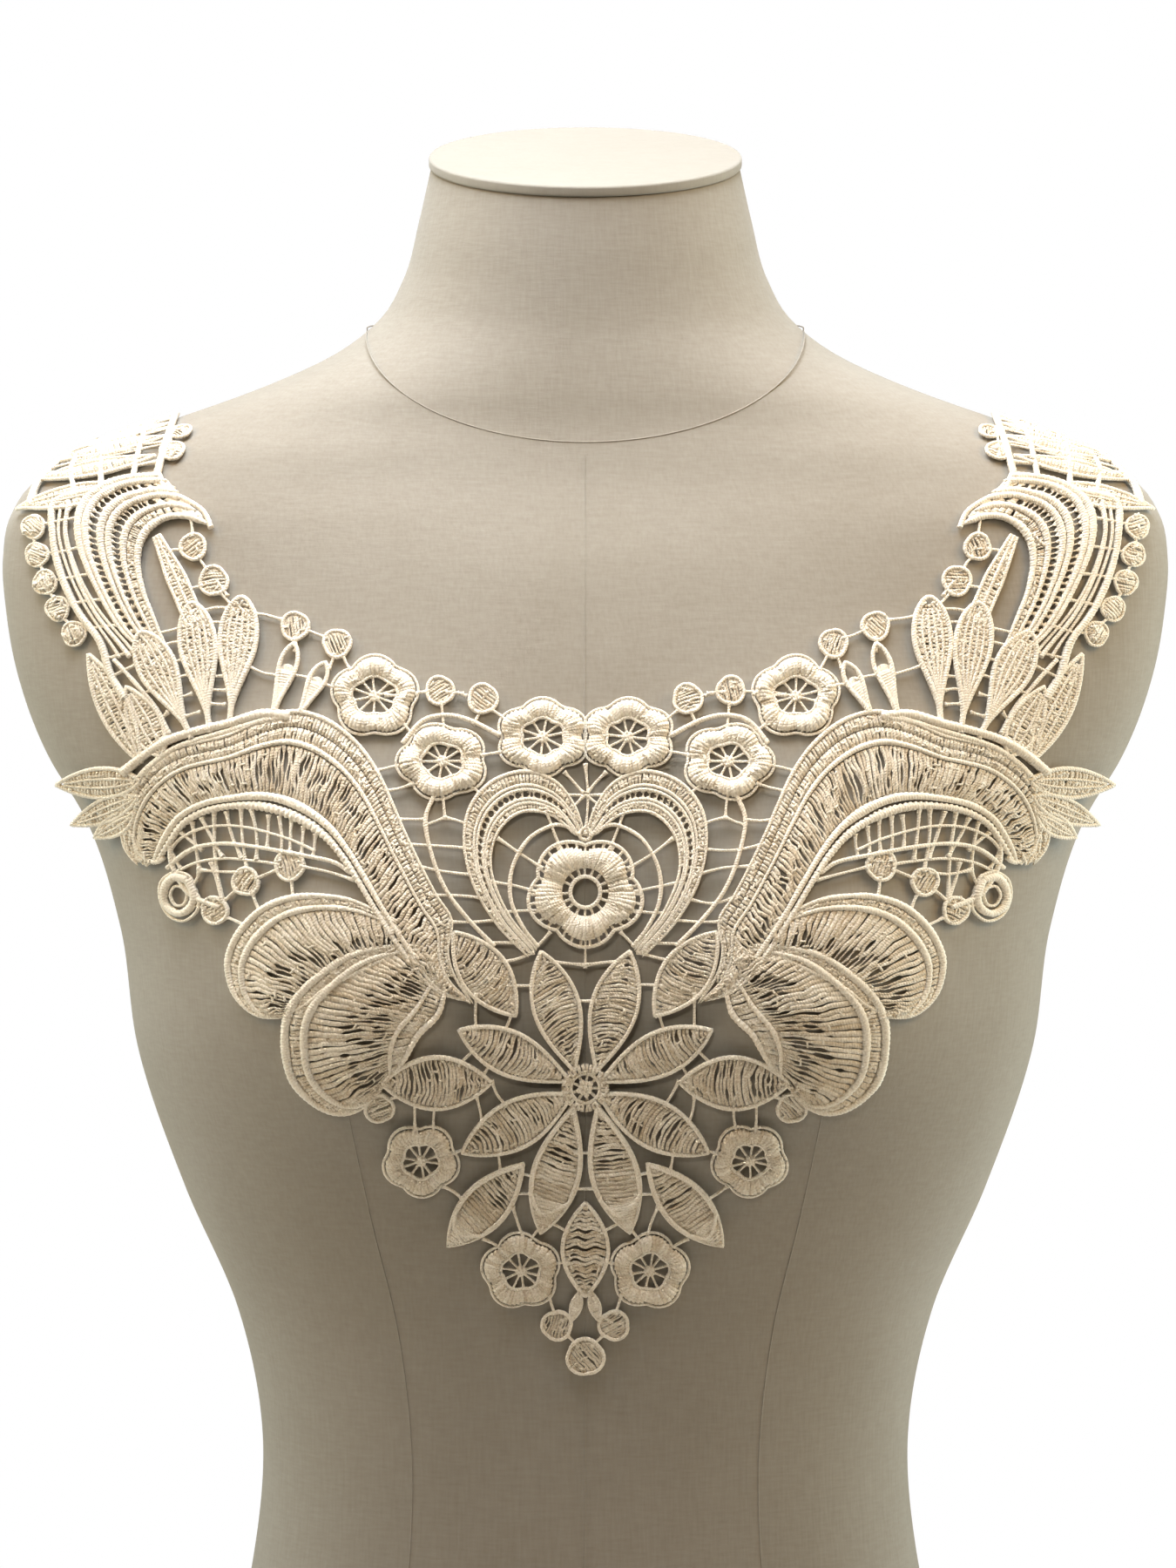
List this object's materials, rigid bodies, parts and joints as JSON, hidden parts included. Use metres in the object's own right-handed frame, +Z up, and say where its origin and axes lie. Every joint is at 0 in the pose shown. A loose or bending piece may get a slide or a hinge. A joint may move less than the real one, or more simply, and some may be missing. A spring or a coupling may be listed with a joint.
{
  "type": "lace collar on a dress form",
  "caption": "Guipure lace neckline collar with a heart, daisy, scrolls, shells and shoulder wings, resting on a limbless linen dress form with a flat base.",
  "frame": {"origin": "middle of the whole object's footprint box, on the flat base that the dress form stands on", "axes": "+Z up the dress form, +Y from its front to its back, +X to the right seen from the front"},
  "size_m": [0.4002, 0.2334, 0.6428],
  "materials": {
    "form_linen": "matt woven linen",
    "cap_linen": "matt woven linen",
    "lace_thread": "soft sheen cotton thread"
  },
  "bodies": {
    "root": {"form_torso": "form_linen", "neck_cap": "cap_linen", "lace_centre": "lace_thread", "lace_scroll_left": "lace_thread", "lace_scroll_right": "lace_thread", "lace_wing_left": "lace_thread", "lace_wing_right": "lace_thread"}
  },
  "joints": []
}
